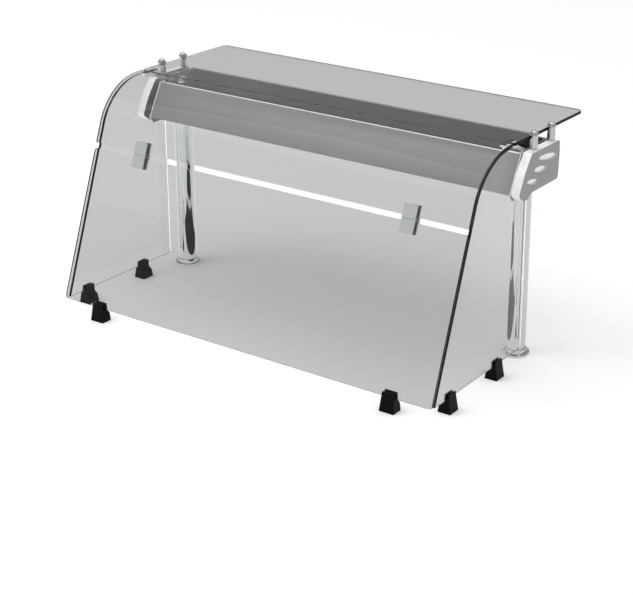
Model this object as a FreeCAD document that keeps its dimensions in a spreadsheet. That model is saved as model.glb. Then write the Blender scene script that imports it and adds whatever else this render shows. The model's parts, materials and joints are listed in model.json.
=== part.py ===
import FreeCAD, Part
import math
import os
import re
import Sketcher

# Glass sneeze guard for a hot food counter, in millimetres.
# X runs along the counter front, Y from the customer to the server, Z up.
# The origin is on the worktop, at the middle of the guard's footprint.

SIZES = {
    # Posts and their feet
    "post_x": 402, "post_y": 87, "post_radius": 19, "post_wall": 1.5, "post_top": 346,
    "foot_radius": 27, "foot_thick": 4, "collar_radius": 20.5, "collar_flare": 1, "collar_top": 12,
    "foot_bolt_circle": 24, "foot_hole_radius": 1.7, "foot_sink_radius": 2.8, "foot_sink_depth": 1.2,
    "plug_length": 24, "plug_flange_radius": 25, "plug_flange_thick": 4,
    "stud_radius": 7.45, "stud_bore": 5, "stud_gap": 0.05, "left_stud_top": 398, "right_stud_top": 372,
    "nut_radius": 13, "nut_thick": 8, "gland_radius": 8.5, "gland_height": 10,
    "gland_dome": 3, "gland_narrow": 2,
    # Glass panes
    "glass": 6, "front_half": 430, "top_half": 431, "lean": 20.5, "foot_y": -260.5, "pane_bottom": 27,
    "joint_low": 312, "joint_high": 321.5, "bend_radius": 120, "top_level": 437, "front_rear_y": -4.5,
    "top_front_y": -1.5, "top_rear_y": 260, "end_glass_x": 426, "end_rear_y": 57, "end_top_y": -2,
    "end_top_drop": 25, "end_gap": 3, "corner_radius": 9,
    # Canopy housing
    "sheet": 1.5, "canopy_half": 417.5, "fascia_foot_y": 5, "fascia_foot_z": 340, "fascia_head_y": 41,
    "fascia_head_z": 408, "lip": 7, "tray_z": 350, "tray_wall": 14, "rear_y": 143, "rear_foot_z": 341,
    "rear_head_z": 412, "end_plate": 2, "leg_y": 13, "leg_z": 327, "notch_clear": 2, "notch_side": 1,
    # End caps
    "cap_inner": 429.5, "cap_deep": 17, "cap_top": 414, "cap_wall": 2.5, "boss_radius": 5,
    "cap_bolt_radius": 2, "cap_bolt_depth": 11, "cap_bolt_grip": 8, "pin_boss_radius": 4.6,
    "pin_boss_tall": 8, "pin_boss_low": 9, "pin_hole_tall": 14, "pin_hole_low": 12, "spacer_radius": 4,
    "baffle": 1, "baffle_x": 442.8, "baffle_clear": 0.3, "gasket_gap": 0.5,
    # Heat lamps
    "lamp_x": 190, "lamp_z": 338, "lamp_radius": 5, "lamp_length": 200, "lamp_end_radius": 4,
    "lamp_end": 8, "trough_length": 252, "trough_half": 30, "trough_top_half": 17, "trough_foot_z": 328,
    "trough_sheet": 1, "trough_foot_wide": 1.2, "trough_top_wide": 0.6, "holder_long": 14, "holder_wide": 18,
    "lamp_end_gap": 0.2, "guard_rod": 1.25, "guard_pitch": 28,
    # Terminal box in the canopy
    "terminal_x": -320, "terminal_long": 80, "terminal_wide": 46, "terminal_tall": 20, "terminal_wall": 2.5,
    "block_long": 60, "block_wide": 18, "block_tall": 12,
    # Top glass clamps
    "clamp_x": 434.5, "clamp_front_y": 63.5, "clamp_rear_y": 129, "pin_radius": 7.5, "pin_step_x": 431.4,
    "pin_top": 439.6, "pad": 1, "disc_radius": 9, "disc_thick": 3, "dome_radius": 6.5, "dome_height": 6,
    "screw_radius": 2.45, "screw_bore": 2.5, "screw_depth": 18, "socket_radius": 2.3, "socket_depth": 2.6,
    "pin_spigot": 8, "step_tall": 10, "step_wide": 16, "thread_lead": 2,
    # Connectors between the two front panes
    "connector_x": 310, "connector_wide": 27, "connector_tall": 52, "outer_thick": 4, "inner_thick": 3,
    "connector_pad": 3.2, "sliding_gap": 0.2, "groove": 1.6, "link_screw": 2, "link_rise": 15, "link_side": 6,
    "link_head_radius": 3.5, "link_grip": 2.6, "thread_cover": 1, "pad_split": 5.5, "glass_hole": 4,
    # Clips on the worktop
    "clip_height": 36, "clip_long": 28, "front_clip_long": 31, "clip_outer": 437, "clip_inner": 411,
    "clip_lean": 4.7, "jaw": 3.2, "shoulder_z": 20, "shoulder_drop": 4.5, "slot_gap": 0.3, "clip_taper": 3,
    "side_shoulder": 2, "front_shoulder": 1, "front_clip_lean": 5.4,
    "side_clip_front_y": -190.5, "side_clip_rear_y": -29, "front_clip_x": 340.5, "front_clip_y": -260,
    "front_clip_back": -236, "insert_radius": 2.1, "insert_depth": 12,
    # Brackets under the front edge of the top glass
    "bracket": 3, "bracket_front": -13, "bracket_rear": 24, "bracket_flange": 10,
    "bracket_bite": 0.5, "bracket_outside": 2,
}

SIDES = {"left": -1, "right": 1}
# Places on the end of the canopy, as (y, z)
CAP_BOLTS = [(118, 362), (80, 358), (133, 404)]
BRACKET_SCREW = (58, 392)
# The vents in each cap: first end, last end, and height across
VENTS = [
    ((64.3, 398.5), (132, 388.5), 11.5),
    ((48.2, 380.4), (94, 373.8), 11),
    ((23.3, 363.9), (63.6, 357.5), 9),
]
# Cross rods on each side of the middle of a lamp's guard
GUARD_RODS = 4
# A cutting block larger than any clip
TAPER_BLOCK = 60

document = FreeCAD.newDocument("sneeze_guard")
sheet = document.addObject("Spreadsheet::Sheet", "dims")
for row, (alias, size) in enumerate(SIZES.items(), start=1):
    sheet.set(f"A{row}", alias)
    sheet.set(f"B{row}", str(size))
    sheet.setAlias(f"B{row}", alias)
document.recompute()

nodes = []


def formula(text):
    """Turn an expression in plain alias names into one that reads the sheet."""
    return re.sub(r"[a-z][a-z_]+", lambda word: "dims." + word[0] if word[0] in SIZES else word[0], str(text))


def number(text):
    """The value of an expression, in millimetres or degrees."""
    return float(sheet.evalExpression(formula(text)))


def bind(thing, **sizes):
    for prop, text in sizes.items():
        thing.setExpression(prop, formula(text))
    return thing


def put(thing, x=0, y=0, z=0, turn=None):
    """Place a thing at (x, y, z), turned by (axis, angle) first."""
    if turn:
        axis, angle = turn
        thing.Placement.Rotation = FreeCAD.Rotation(FreeCAD.Vector(*axis), number(angle))
    for axis_name, text in zip("xyz", (x, y, z)):
        thing.setExpression("Placement.Base." + axis_name, formula(text))
    return thing


def node(thing, label):
    thing.Label = label
    nodes.append(thing)
    return thing


# ---------------------------------------------------------------- Part primitives

TURNS = {"X": ((0, 1, 0), 90), "-X": ((0, 1, 0), -90), "Y": ((1, 0, 0), -90), "Z": None}


def cylinder(radius, height, x, y, z, along="Z"):
    thing = document.addObject("Part::Cylinder")
    return put(bind(thing, Radius=radius, Height=height), x, y, z, TURNS[along])


def cone(radius_low, radius_high, height, x, y, z):
    thing = document.addObject("Part::Cone")
    return put(bind(thing, Radius1=radius_low, Radius2=radius_high, Height=height), x, y, z)


def box(long, wide, tall, x, y, z):
    """A box centred on (x, y), standing on z."""
    thing = bind(document.addObject("Part::Box"), Length=long, Width=wide, Height=tall)
    return put(thing, f"({x}) - ({long}) / 2", f"({y}) - ({wide}) / 2", z)


def prism(radius, height, x, y, z):
    thing = document.addObject("Part::Prism")
    thing.Polygon = 6
    return put(bind(thing, Circumradius=radius, Height=height), x, y, z)


def cut(base, tool):
    thing = document.addObject("Part::Cut")
    thing.Base = base
    thing.Tool = tool
    return thing


def fuse(*parts):
    thing = document.addObject("Part::MultiFuse")
    thing.Shapes = list(parts)
    return thing


def group(*parts):
    """Several separate solids in one node."""
    thing = document.addObject("Part::Compound")
    thing.Links = list(parts)
    return thing


# ---------------------------------------------------------------- PartDesign bodies

def draw(body, plane, points):
    """A closed outline on one of the body's own planes, each corner bound to the sheet."""
    sketch = body.newObject("Sketcher::SketchObject", "outline")
    origin_plane = next(feature for feature in body.Origin.OriginFeatures if feature.Role == plane)
    sketch.AttachmentSupport = [(origin_plane, "")]
    sketch.MapMode = "FlatFace"
    corners = [FreeCAD.Vector(number(u), number(v), 0) for u, v in points]
    count = len(corners)
    for index, corner in enumerate(corners):
        sketch.addGeometry(Part.LineSegment(corner, corners[(index + 1) % count]), False)
    for index in range(count):
        sketch.addConstraint(Sketcher.Constraint("Coincident", index, 2, (index + 1) % count, 1))
    for index, (u, v) in enumerate(points):
        for kind, text in (("DistanceX", u), ("DistanceY", v)):
            value = number(text)
            place = sketch.addConstraint(Sketcher.Constraint(kind, -1, 1, index, 1, value))
            sketch.setExpression(f"Constraints[{place}]", formula(text))
    return sketch


def plate(points, thickness, x=0, plane="YZ_Plane", rounds=()):
    """An outline padded along X from x, with (corner, radius) pairs rounded."""
    body = document.addObject("PartDesign::Body")
    pad = body.newObject("PartDesign::Pad", "pad")
    pad.Profile = draw(body, plane, points)
    bind(pad, Length=thickness)
    put(body, x)
    document.recompute()
    for corner, radius in rounds:
        round_corner(body, points[corner], radius)
    return body


def runs_along_pad(edge, place):
    """True for a straight edge that stands on the outline's corner, all the way through."""
    ends = [vertex.Point for vertex in edge.Vertexes]
    return len(ends) == 2 and all(math.hypot(end.y - place[0], end.z - place[1]) < 0.01 for end in ends)


def round_corner(body, corner, radius):
    place = (number(corner[0]), number(corner[1]))
    last = body.Tip
    numbered = enumerate(last.Shape.Edges, start=1)
    names = [f"Edge{index}" for index, edge in numbered if runs_along_pad(edge, place)]
    fillet = body.newObject("PartDesign::Fillet", "corner")
    fillet.Base = (last, names)
    bind(fillet, Radius=radius)
    document.recompute()


def bore(body, radius, height, x, y, z, along="X"):
    """A hole in a body. Places are the body's own."""
    feature = body.newObject("PartDesign::SubtractiveCylinder", "hole")
    put(bind(feature, Radius=radius, Height=height), x, y, z, TURNS[along])
    document.recompute()
    return feature


def from_side(side, low, thickness):
    """Where a plate starts in X, for a plate from low to low + thickness out from the middle."""
    return low if side > 0 else f"-({low}) - ({thickness})"


# ---------------------------------------------------------------- Posts

def post(name, side):
    outside = cylinder("post_radius", "post_top", f"{side} * post_x", "post_y", 0)
    inside = cylinder("post_radius - post_wall", "post_top", f"{side} * post_x", "post_y", 0)
    node(cut(outside, inside), f"post_{name}")


def foot(name, side):
    x = f"{side} * post_x"
    ring = cylinder("foot_radius", "foot_thick", x, "post_y", 0)
    cove = cone("collar_radius + collar_flare", "collar_radius", "collar_top - foot_thick", x, "post_y",
                "foot_thick")
    holes = [cylinder("post_radius + stud_gap", "collar_top", x, "post_y", 0)]
    for quarter in range(4):
        angle = 45 + 90 * quarter
        across = f"{side} * post_x + foot_bolt_circle * cos({angle})"
        back = f"post_y + foot_bolt_circle * sin({angle})"
        holes.append(cylinder("foot_hole_radius", "foot_thick", across, back, 0))
        sink = cone("foot_hole_radius", "foot_sink_radius", "foot_sink_depth", across, back,
                    "foot_thick - foot_sink_depth")
        holes.append(sink)
    node(cut(fuse(ring, cove), fuse(*holes)), f"base_flange_{name}")


def post_head(name, side, stud_top):
    """The threaded plug in the top of a post, and the hollow stud that holds the canopy to it."""
    x = f"{side} * post_x"
    low = "post_top - plug_length"
    plug = cylinder("post_radius - post_wall - stud_gap", "plug_length", x, "post_y", low)
    rim = cylinder("plug_flange_radius", "plug_flange_thick", x, "post_y", "post_top")
    thread = cylinder("stud_radius + stud_gap", "plug_length + plug_flange_thick", x, "post_y", low)
    node(cut(fuse(plug, rim), thread), f"post_plug_{name}")
    length = f"{stud_top} - post_top + plug_length"
    stud = cylinder("stud_radius", length, x, "post_y", low)
    hollow = cylinder("stud_bore", length, x, "post_y", low)
    node(cut(stud, hollow), {"left": "cable_riser", "right": "post_stud"}[name])


def lock_nuts():
    nuts = []
    for side in SIDES.values():
        x = f"{side} * post_x"
        blank = prism("nut_radius", "nut_thick", x, "post_y", "tray_z + sheet")
        thread = cylinder("stud_radius + stud_gap", "nut_thick", x, "post_y", "tray_z + sheet")
        nuts.append(cut(blank, thread))
    node(group(*nuts), "post_lock_nuts")


def cable_gland():
    barrel = cylinder("gland_radius", "gland_height - gland_dome", "-post_x", "post_y", "left_stud_top")
    dome = cone("gland_radius", "gland_radius - gland_narrow", "gland_dome", "-post_x", "post_y",
                "left_stud_top + gland_height - gland_dome")
    hole = cylinder("stud_bore", "gland_height", "-post_x", "post_y", "left_stud_top")
    node(cut(fuse(barrel, dome), hole), "cable_gland")


# ---------------------------------------------------------------- Glass

def pane_y(height):
    """Y of the leaning pane's middle plane at a height."""
    return f"foot_y + ({height}) * tan(lean)"


def pane_corner(height, offset):
    """The pane's cut end at a height, offset out of its middle plane towards the server."""
    return (f"{pane_y(height)} + ({offset}) * cos(lean)", f"({height}) - ({offset}) * sin(lean)")


def bend_corner(offset):
    """Where the leaning face and the level face would meet, offset from the middle planes."""
    level = f"top_level - ({offset})"
    return (f"{pane_y(level)} + ({offset}) / cos(lean)", level)


def lower_front_glass():
    points = [pane_corner("pane_bottom", "-glass / 2"), pane_corner("joint_low", "-glass / 2"),
              pane_corner("joint_low", "glass / 2"), pane_corner("pane_bottom", "glass / 2")]
    node(plate(points, "2 * front_half", "-front_half"), "lower_front_glass")


def curved_front_glass():
    points = [pane_corner("joint_high", "-glass / 2"), bend_corner("-glass / 2"),
              ("front_rear_y", "top_level + glass / 2"), ("front_rear_y", "top_level - glass / 2"),
              bend_corner("glass / 2"), pane_corner("joint_high", "glass / 2")]
    rounds = [(1, "bend_radius + glass / 2"), (4, "bend_radius - glass / 2")]
    body = plate(points, "2 * front_half", "-front_half", rounds=rounds)
    low = "(joint_low + joint_high) / 2 + link_rise * cos(lean)"
    for side in SIDES.values():
        for step in (-1, 1):
            hole = body.newObject("PartDesign::SubtractiveCylinder", "link_hole")
            bind(hole, Radius="glass_hole", Height="4 * glass")
            across = f"front_half + {side} * connector_x + {step} * link_side"
            put(hole, across, f"{pane_y(low)} - 2 * glass * cos(lean)", f"{low} + 2 * glass * sin(lean)",
                ((1, 0, 0), "-90 - lean"))
            document.recompute()
    node(body, "curved_front_glass")


def top_glass():
    sheet_y = "(top_front_y + top_rear_y) / 2"
    blank = box("2 * top_half", "top_rear_y - top_front_y", "glass", 0, sheet_y, "top_level - glass / 2")
    document.recompute()
    rounded = document.addObject("Part::Fillet")
    rounded.Base = blank
    upright = [index for index, edge in enumerate(blank.Shape.Edges, start=1)
               if abs(edge.Vertexes[0].Z - edge.Vertexes[1].Z) > 1]
    rounded.Edges = [(index, number("corner_radius"), number("corner_radius")) for index in upright]
    node(rounded, "top_glass")


def end_glass(name, side):
    inset = "glass / 2 + end_gap"
    points = [(f"{pane_y('pane_bottom')} + ({inset}) / cos(lean)", "pane_bottom"), bend_corner(inset),
              ("end_top_y", f"top_level - ({inset})"), ("end_rear_y", "top_level - end_top_drop"),
              ("end_rear_y", "pane_bottom")]
    rounds = [(1, f"bend_radius - ({inset})"), (0, "corner_radius / 2"), (4, "corner_radius / 2")]
    start = from_side(side, "end_glass_x - glass / 2", "glass")
    node(plate(points, "glass", start, rounds=rounds), f"end_glass_{name}")


# ---------------------------------------------------------------- Canopy

SLOPE = "((fascia_head_y - fascia_foot_y) / (fascia_head_z - fascia_foot_z))"


def fascia_y(height, inwards="0"):
    """Y of the sloping front at a height, some way in from its face."""
    return f"fascia_foot_y + (({height}) - fascia_foot_z) * {SLOPE} + ({inwards}) * sqrt(1 + {SLOPE}^2)"


def fascia():
    foot, head = "fascia_foot_z", "fascia_head_z"
    above, below = "fascia_foot_z + sheet", "fascia_head_z - sheet"
    points = [(fascia_y(foot), foot), (fascia_y(head), head), ("fascia_head_y + lip", head),
              ("fascia_head_y + lip", below), (fascia_y(below, "sheet"), below),
              (fascia_y(above, "sheet"), above), ("fascia_foot_y + lip", above),
              ("fascia_foot_y + lip", foot)]
    node(plate(points, "2 * canopy_half", "-canopy_half"), "fascia")


def rear_panel():
    points = [("rear_y", "rear_foot_z"), ("rear_y", "rear_head_z"), ("rear_y - lip", "rear_head_z"),
              ("rear_y - lip", "rear_head_z - sheet"), ("rear_y - sheet", "rear_head_z - sheet"),
              ("rear_y - sheet", "rear_foot_z + sheet"), ("rear_y - lip", "rear_foot_z + sheet"),
              ("rear_y - lip", "rear_foot_z")]
    node(plate(points, "2 * canopy_half", "-canopy_half"), "rear_panel")


def tray():
    """The canopy floor, with a turned-up edge against the fascia and one against the rear panel."""
    low, high, top = "tray_z", "tray_z + sheet", "tray_z + tray_wall"
    points = [(fascia_y(low, "sheet"), low), (fascia_y(top, "sheet"), top), (fascia_y(top, "2 * sheet"), top),
              (fascia_y(high, "2 * sheet"), high), ("rear_y - 2 * sheet", high), ("rear_y - 2 * sheet", top),
              ("rear_y - sheet", top), ("rear_y - sheet", low)]
    body = plate(points, "2 * canopy_half", "-canopy_half")
    for side in SIDES.values():
        bore(body, "stud_radius + stud_gap", "2 * sheet", f"canopy_half + {side} * post_x", "post_y",
             "tray_z - sheet / 2", "Z")
    node(body, "tray")


def end_plate(name, side):
    """The canopy's inner end, hanging lower in front of the post and notched round it."""
    low, high = "post_y - plug_flange_radius - notch_side", "post_y + plug_flange_radius + notch_side"
    notch = "tray_z + sheet + notch_clear"
    points = [("fascia_head_y", "fascia_head_z"), ("fascia_foot_y", "fascia_foot_z"), ("leg_y", "leg_z"),
              (f"{low} - notch_clear", "leg_z"), (low, notch), (high, notch), (high, "rear_foot_z"),
              ("rear_y", "rear_foot_z"), ("rear_y", "rear_head_z")]
    body = plate(points, "end_plate", from_side(side, "canopy_half", "end_plate"))
    for y, z in (*CAP_BOLTS, BRACKET_SCREW):
        bore(body, "cap_bolt_radius + stud_gap", "2 * end_plate", "-end_plate / 2", y, z)
    node(body, f"canopy_end_plate_{name}")


# ---------------------------------------------------------------- End caps

CAP_OUTLINE = [(36.5, "cap_top"), (141, "cap_top"), (143, 393), (140, 341), (56, 341), (38, 340), (28, 331.6),
               (14, 331.6), (-6, 344), (13.2, 382)]
CAP_ROUNDS = [(9, 120), (8, 9), (7, 6), (6, 6), (3, 8), (1, 4), (0, 4)]


def inset(points, distance):
    """The outline moved inwards, for the inside of a pressed shell. It runs clockwise."""
    corners = [FreeCAD.Vector(number(y), number(z), 0) for y, z in points]
    inner = []
    for index, corner in enumerate(corners):
        before = (corner - corners[index - 1]).normalize()
        after = (corners[(index + 1) % len(corners)] - corner).normalize()
        normals = [FreeCAD.Vector(edge.y, -edge.x, 0) for edge in (before, after)]
        middle = normals[0] + normals[1]
        inner.append(corner + middle * (2 * distance / middle.dot(middle)))
    return [(corner.x, corner.y) for corner in inner]


def vent(x, ends, height):
    """The tool for an oval vent through the face of a cap, drawn from its two ends."""
    (first_y, first_z), (last_y, last_z) = ends
    oval = document.addObject("Part::Ellipse")
    length = math.hypot(last_y - first_y, last_z - first_z)
    tilt = math.degrees(math.atan2(last_z - first_z, last_y - first_y))
    bind(oval, MajorRadius=length / 2, MinorRadius=height / 2)
    put(oval, x, (first_y + last_y) / 2, (first_z + last_z) / 2)
    x_axis, y_axis, z_axis = FreeCAD.Vector(1, 0, 0), FreeCAD.Vector(0, 1, 0), FreeCAD.Vector(0, 0, 1)
    upright = FreeCAD.Rotation(y_axis, z_axis, x_axis, "XZY")
    oval.Placement.Rotation = FreeCAD.Rotation(x_axis, tilt) * upright
    tool = document.addObject("Part::Extrusion")
    tool.Base = oval
    tool.DirMode = "Custom"
    tool.Dir = x_axis
    tool.Solid = True
    tool.Symmetric = True
    return bind(tool, LengthFwd="4 * cap_wall")


def end_cap(name, side):
    """A pressed cap over the canopy's end. Inside it are bosses for its bolts and the clamp pins."""
    along = "X" if side > 0 else "-X"
    blank = plate(CAP_OUTLINE, "cap_deep", from_side(side, "cap_inner", "cap_deep"), rounds=CAP_ROUNDS)
    inner = [(corner, f"({radius}) - cap_wall") for corner, radius in CAP_ROUNDS]
    hollow = plate(inset(CAP_OUTLINE, number("cap_wall")), "cap_deep",
                   from_side(side, "cap_inner - cap_wall", "cap_deep"), rounds=inner)
    bosses, tools = [], []
    start = f"{side} * cap_inner"
    for y, z in CAP_BOLTS:
        bosses.append(cylinder("boss_radius", "cap_deep - cap_wall / 2", start, y, z, along))
        tools.append(cylinder("cap_bolt_radius + stud_gap", "cap_bolt_depth", start, y, z, along))
    x = f"{side} * clamp_x"
    for y in ("clamp_front_y", "clamp_rear_y"):
        bosses.append(cylinder("pin_boss_radius", "pin_boss_tall", x, y, "cap_top - pin_boss_low"))
        tools.append(cylinder("screw_bore + stud_gap", "pin_hole_tall", x, y, "cap_top - pin_hole_low"))
    for first, last, height in VENTS:
        tools.append(vent(f"{side} * (cap_inner + cap_deep - cap_wall / 2)", (first, last), height))
    node(cut(fuse(cut(blank, hollow), *bosses), fuse(*tools)), f"end_cap_{name}")


def vent_baffles():
    """A bright plate behind each cap's vents, so that they look closed but still breathe."""
    outline = [(50, 406), (136, 406), (139, 392), (136, 348), (60, 348), (36, 346), (10, 346), (14, 366)]
    plates = []
    for side in SIDES.values():
        body = plate(outline, "baffle", from_side(side, "baffle_x", "baffle"))
        for y, z in CAP_BOLTS:
            bore(body, "boss_radius + baffle_clear", "3 * baffle", "-baffle", y, z)
        plates.append(body)
    node(group(*plates), "vent_baffles")


def cap_fixings():
    spacers, bolts = [], []
    for side in SIDES.values():
        along = "X" if side > 0 else "-X"
        for y, z in CAP_BOLTS:
            start = f"{side} * (canopy_half + end_plate)"
            length = "cap_inner - canopy_half - end_plate"
            spacer = cylinder("spacer_radius", length, start, y, z, along)
            hole = cylinder("cap_bolt_radius + stud_gap", length, start, y, z, along)
            spacers.append(cut(spacer, hole))
            head_x = f"{side} * (canopy_half - cap_bolt_radius)"
            head = cylinder("2 * cap_bolt_radius", "cap_bolt_radius", head_x, y, z, along)
            reach = f"{length} + end_plate + cap_bolt_grip"
            shank = cylinder("cap_bolt_radius", reach, f"{side} * canopy_half", y, z, along)
            bolts.append(fuse(head, shank))
    node(group(*spacers), "cap_spacers")
    bracket_screws = [bracket_screw(side) for side in SIDES.values()]
    node(group(*bolts, *bracket_screws), "canopy_screws")


def end_gaskets():
    """Rubber on both faces of each end glass, where the canopy and the cap grip it."""
    outline = [(48, 402), (58, 402), (58, 348), (20, 348)]
    for name, side in SIDES.items():
        inner_low = "canopy_half + end_plate"
        inner_thick = "end_glass_x - glass / 2 - canopy_half - end_plate"
        inner = plate(outline, inner_thick, from_side(side, inner_low, inner_thick))
        outer = plate(outline, "gasket_gap", from_side(side, "end_glass_x + glass / 2", "gasket_gap"))
        node(group(inner, outer), f"end_gasket_{name}")


# ---------------------------------------------------------------- Heat lamps

def trough(name, side):
    """The folded reflector over a lamp."""
    low, high, under = "trough_foot_z", "tray_z", "tray_z - trough_sheet"
    points = [("post_y - trough_half", low), ("post_y - trough_top_half", high),
              ("post_y + trough_top_half", high), ("post_y + trough_half", low),
              ("post_y + trough_half - trough_foot_wide", low),
              ("post_y + trough_top_half - trough_top_wide", under),
              ("post_y - trough_top_half + trough_top_wide", under),
              ("post_y - trough_half + trough_foot_wide", low)]
    start = f"{side} * lamp_x - trough_length / 2"
    node(plate(points, "trough_length", start), f"lamp_reflector_{name}")


def lamp(name, side):
    start = f"{side} * lamp_x - lamp_length / 2"
    body = cylinder("lamp_radius", "lamp_length", start, "post_y", "lamp_z", "X")
    length = "lamp_length + 2 * lamp_end"
    ends = cylinder("lamp_end_radius", length, f"{start} - lamp_end", "post_y", "lamp_z", "X")
    node(fuse(body, ends), f"heat_lamp_{name}")


def lamp_holders():
    holders = []
    for side in SIDES.values():
        for end in (-1, 1):
            inner = f"{side} * lamp_x + {end} * lamp_length / 2"
            x = f"{inner} + {end} * (holder_long / 2 + lamp_end_gap)"
            tall = "tray_z - trough_sheet - trough_foot_z"
            block = box("holder_long", "holder_wide", tall, x, "post_y", "trough_foot_z")
            along = "X" if end > 0 else "-X"
            socket = cylinder("lamp_end_radius + stud_gap", "lamp_end + lamp_end_gap", inner, "post_y",
                              "lamp_z", along)
            holders.append(cut(block, socket))
    node(group(*holders), "lamp_holders")


def lamp_guards():
    """A wire guard under each lamp, resting against the reflector's lower edges."""
    guards = []
    z = "trough_foot_z - guard_rod"
    reach = "2 * trough_half - 2 * guard_rod"
    for side in SIDES.values():
        rods = []
        for across in (-1, 1):
            rods.append(cylinder("guard_rod", "trough_length", f"{side} * lamp_x - trough_length / 2",
                                 f"post_y + {across} * (trough_half - guard_rod)", z, "X"))
        for step in range(-GUARD_RODS, GUARD_RODS + 1):
            rods.append(cylinder("guard_rod", reach, f"{side} * lamp_x + {step} * guard_pitch",
                                 "post_y - trough_half + guard_rod", f"{z} - guard_rod", "Y"))
        guards.append(fuse(*rods))
    node(group(*guards), "lamp_guards")


def terminal_box():
    """The closed box in the canopy where the lamps are wired."""
    low = "tray_z + sheet"
    floor, top = f"{low} + terminal_wall", f"{low} + terminal_tall"
    outside = box("terminal_long", "terminal_wide", "terminal_tall", "terminal_x", "post_y", low)
    inside = box("terminal_long - 2 * terminal_wall", "terminal_wide - 2 * terminal_wall", "terminal_tall",
                 "terminal_x", "post_y", floor)
    node(cut(outside, inside), "terminal_box")
    lid = box("terminal_long", "terminal_wide", "terminal_wall", "terminal_x", "post_y", top)
    node(lid, "terminal_box_lid")
    node(box("block_long", "block_wide", "block_tall", "terminal_x", "post_y", floor), "terminal_block")


# ---------------------------------------------------------------- Top glass clamps

def clamp_pins():
    """Stepped pins that stand on the caps. The glass edge lies in the step."""
    pins, pads = [], []
    for side in SIDES.values():
        for y in ("clamp_front_y", "clamp_rear_y"):
            x = f"{side} * clamp_x"
            low = "top_level - glass / 2 - pad"
            body = fuse(cylinder("pin_radius", "pin_top - cap_top", x, y, "cap_top"),
                        cylinder("screw_bore", "pin_spigot", x, y, "cap_top - pin_spigot"))
            step_x = f"{side} * (pin_step_x - pin_radius)"
            step = box("2 * pin_radius", "step_wide", "step_tall", step_x, y, low)
            hole = cylinder("screw_bore", "screw_depth", x, y, "pin_top - screw_depth + thread_lead")
            pins.append(cut(body, fuse(step, hole)))
            pads.append(pin_pad(x, y, step_x, low))
    node(group(*pins), "clamp_pins")
    return pads


def pin_pad(x, y, step_x, low):
    """The rubber under the glass, the same D shape as the step."""
    thing = document.addObject("Part::MultiCommon")
    thing.Shapes = [cylinder("pin_radius", "pad", x, y, low),
                    box("2 * pin_radius", "step_wide", "pad", step_x, y, low)]
    return thing


def clamp(name, side, y):
    """The disc that presses on the glass and the domed screw above it, with its hexagon socket."""
    x = f"{side} * clamp_x"
    disc_z = "top_level + glass / 2 + stud_gap"
    disc = cylinder("disc_radius", "disc_thick", x, y, disc_z)
    node(cut(disc, cylinder("screw_bore", "disc_thick", x, y, disc_z)), f"clamp_disc_{name}")
    base_z = f"{disc_z} + disc_thick + stud_gap"
    shank = cylinder("screw_radius", "screw_depth", x, y, f"{base_z} - screw_depth")
    rim = cylinder("dome_radius", "dome_height / 3", x, y, base_z)
    dome = document.addObject("Part::Ellipsoid")
    bind(dome, Radius1="2 * dome_height / 3", Radius2="dome_radius", Radius3="dome_radius")
    dome.Angle1 = 0
    put(dome, x, y, f"{base_z} + dome_height / 3")
    socket = prism("socket_radius", "socket_depth", x, y, f"{base_z} + dome_height - socket_depth")
    node(cut(fuse(shank, rim, dome), socket), f"clamp_screw_{name}")


# ---------------------------------------------------------------- Connectors between the front panes

JOINT_Z = "(joint_low + joint_high) / 2"


def on_slope(thing, x, out, rise):
    """Place a thing by its corner: out from the pane's middle plane to the customer, and up the slope."""
    y = f"{pane_y(JOINT_Z)} - ({out}) * cos(lean) + ({rise}) * sin(lean)"
    z = f"{JOINT_Z} + ({out}) * sin(lean) + ({rise}) * cos(lean)"
    return put(thing, x, y, z, ((1, 0, 0), "-lean"))


def slope_box(wide, thick, tall, x, out, rise):
    """A box lying on the slope, with its front face at out and its lower end at rise."""
    thing = bind(document.addObject("Part::Box"), Length=wide, Width=thick, Height=tall)
    return on_slope(thing, f"({x}) - ({wide}) / 2", out, rise)


def slope_rod(radius, length, x, out, rise):
    """A rod square to the slope, from its front end inwards."""
    thing = bind(document.addObject("Part::Cylinder"), Radius=radius, Height=length)
    on_slope(thing, x, out, rise)
    thing.Placement.Rotation = FreeCAD.Rotation(FreeCAD.Vector(1, 0, 0), number("-90 - lean"))
    return thing


def connector(name, side):
    x = f"{side} * connector_x"
    face = "glass / 2 + connector_pad"
    front = f"{face} + outer_thick"
    outer = slope_box("connector_wide", "outer_thick", "connector_tall", x, front, "-connector_tall / 2")
    groove = slope_box("2 * connector_wide", "groove", "groove", x, front, "-groove / 2")
    inner = slope_box("connector_wide", "inner_thick", "connector_tall", x, f"-({face})",
                      "-connector_tall / 2")
    threads, holes = [], []
    for step in (-1, 1):
        place = f"{x} + {step} * link_side"
        threads.append(slope_rod("link_screw + stud_gap", "outer_thick - thread_cover", place,
                                 f"{front} - thread_cover", "link_rise"))
        holes.append(slope_rod("link_screw + stud_gap", "3 * inner_thick", place,
                               f"inner_thick - ({face})", "link_rise"))
    node(cut(outer, fuse(groove, *threads)), f"connector_outer_{name}")
    node(cut(inner, fuse(*holes)), f"connector_inner_{name}")


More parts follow.
